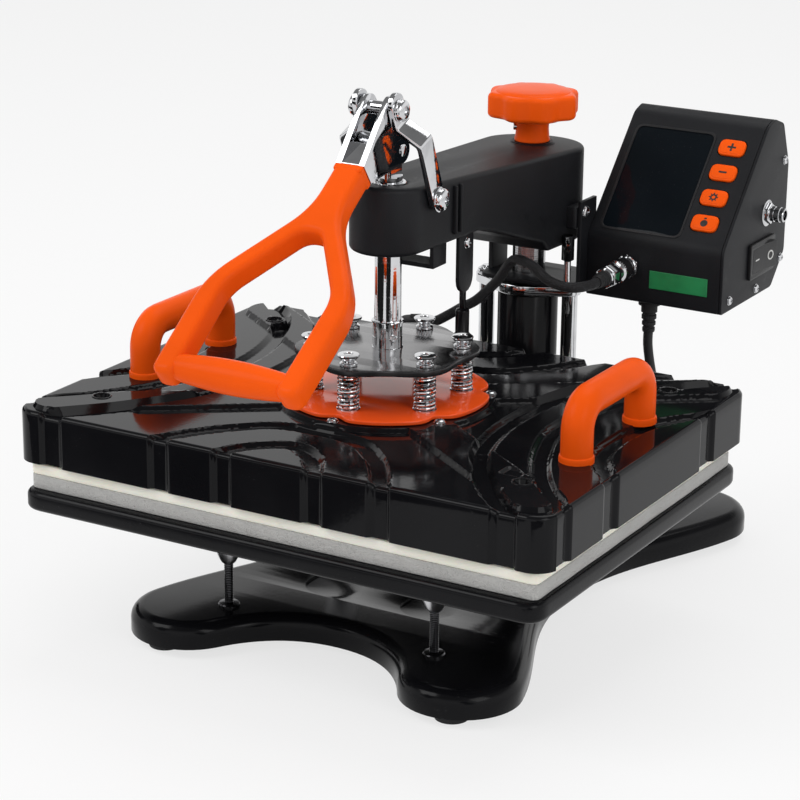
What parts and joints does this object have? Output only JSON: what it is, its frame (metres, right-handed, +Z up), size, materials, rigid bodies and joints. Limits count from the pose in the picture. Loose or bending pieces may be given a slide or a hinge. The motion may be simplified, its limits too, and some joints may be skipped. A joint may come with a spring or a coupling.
{
  "type": "heat press",
  "caption": "Bench heat press with a swinging arm, a spring loaded heated platen, a toggle lever, a padded lower board on a lobed cast base and a control box with screen and keys.",
  "frame": {"origin": "on the floor under the middle of the machine", "axes": "+X to the right of the operator, +Y away from the operator, +Z up"},
  "size_m": [0.398, 0.6295, 0.3786],
  "materials": {
    "gloss_black": "gloss enamel",
    "board_black": "gloss enamel",
    "cover_black": "high gloss",
    "satin_black": "satin enamel",
    "foot_rubber": "matte",
    "orange": "satin",
    "orange_plate": "gloss enamel",
    "chrome": "polished",
    "steel": "turned",
    "bronze": "turned",
    "silicone": "matte",
    "foam": "matte",
    "aluminium": "satin",
    "fibre": "matte",
    "screen": "gloss",
    "circuit": "satin",
    "cord": "matte",
    "plastic_black": "satin"
  },
  "bodies": {
    "base": {"base_plate": "gloss_black", "foot_front_left": "foot_rubber", "foot_front_right": "foot_rubber", "foot_rear_left": "foot_rubber", "foot_rear_right": "foot_rubber", "lower_board": "board_black", "foam_pad": "foam", "silicone_sheet": "silicone", "column_tube": "gloss_black", "column_head": "chrome", "swing_post": "steel", "mains_cord": "cord", "mains_coil": "cord", "mains_plug": "plastic_black"},
    "arm": {"arm_casting": "satin_black", "shaft_bush": "bronze", "cable_loop": "satin_black", "stop_plate": "satin_black", "link_bolt_left": "chrome", "link_bolt_right": "chrome", "box_bracket": "satin_black", "control_shell": "satin_black", "control_side": "satin_black", "display_lens": "screen", "circuit_board": "circuit", "rocker_frame": "plastic_black", "side_socket": "chrome", "head_connector": "chrome", "cord_gland": "foot_rubber", "head_cable": "cord"},
    "knob": {"pressure_knob": "orange", "pressure_screw": "steel"},
    "nut": {"pressure_nut": "bronze"},
    "shaft": {"press_shaft": "chrome", "pressure_disc": "chrome", "spring_1": "chrome", "spring_2": "chrome", "spring_3": "chrome", "spring_4": "chrome", "spring_5": "chrome", "spring_6": "chrome"},
    "lever": {"lever_fork": "chrome", "lever_handle": "orange", "upper_pin": "chrome", "lower_pin": "chrome"},
    "links": {"link_left": "chrome", "link_right": "chrome"},
    "platen": {"platen_cover": "cover_black", "insulation_board": "fibre", "heating_plate": "aluminium", "ring_plate": "orange_plate", "side_handle_left": "orange", "side_handle_right": "orange", "cable_gland": "foot_rubber"},
    "rocker": {"power_rocker": "plastic_black"},
    "key_timer": {"button_timer": "orange"},
    "key_set": {"button_set": "orange"},
    "key_minus": {"button_minus": "orange"},
    "key_plus": {"button_plus": "orange"}
  },
  "joints": [
    {"name": "arm_swing", "type": "hinge", "parent": "base", "child": "arm", "pos_m": [0, 0.1442, 0.25], "axis": [0, 0, 1], "range_deg": [-90, 0]},
    {"name": "press_slide", "type": "slide", "parent": "arm", "child": "shaft", "axis": [0, 0, 1], "range_m": [0, 0.0147], "deforming": ["head_cable"]},
    {"name": "lever_turn", "type": "hinge", "parent": "shaft", "child": "lever", "pos_m": [0, -0.0588, 0.33762], "axis": [-1, 0, 0], "range_deg": [0, 80]},
    {"name": "link_turn", "type": "hinge", "parent": "arm", "child": "links", "pos_m": [0, -0.0466, 0.3052], "axis": [-1, 0, 0], "range_deg": [0, 36.6]},
    {"name": "platen_float", "type": "slide", "parent": "shaft", "child": "platen", "axis": [0, 0, 1], "range_m": [0, 0.004], "stiffness_N_per_m": 40000, "springref_m": -0.0015, "deforming": ["spring_1", "spring_2", "spring_3", "spring_4", "spring_5", "spring_6"]},
    {"name": "knob_turn", "type": "hinge", "parent": "arm", "child": "knob", "pos_m": [0, 0.1442, 0.32], "axis": [0, 0, 1], "range_deg": [-360, 360]},
    {"name": "nut_slide", "type": "slide", "parent": "arm", "child": "nut", "axis": [0, 0, 1], "range_m": [-0.002, 0.002]},
    {"name": "rocker_tilt", "type": "hinge", "parent": "arm", "child": "rocker", "pos_m": [0.1526, 0.2082, 0.226], "axis": [0, 0, 1], "range_deg": [0, 14]},
    {"name": "key_timer_press", "type": "slide", "parent": "arm", "child": "key_timer", "axis": [0, 0.7307, -0.6827], "range_m": [0, 0.0012], "stiffness_N_per_m": 400, "springref_m": -0.0005},
    {"name": "key_set_press", "type": "slide", "parent": "arm", "child": "key_set", "axis": [0, 0.7307, -0.6827], "range_m": [0, 0.0012], "stiffness_N_per_m": 400, "springref_m": -0.0005},
    {"name": "key_minus_press", "type": "slide", "parent": "arm", "child": "key_minus", "axis": [0, 0.7307, -0.6827], "range_m": [0, 0.0012], "stiffness_N_per_m": 400, "springref_m": -0.0005},
    {"name": "key_plus_press", "type": "slide", "parent": "arm", "child": "key_plus", "axis": [0, 0.7307, -0.6827], "range_m": [0, 0.0012], "stiffness_N_per_m": 400, "springref_m": -0.0005}
  ],
  "couplings": [
    {"joint": "press_slide", "follows": "lever_turn", "m_per_rad": 0.01044},
    {"joint": "link_turn", "follows": "lever_turn", "ratio": 0.457},
    {"joint": "nut_slide", "follows": "knob_turn", "m_per_rad": -0.00031831}
  ]
}
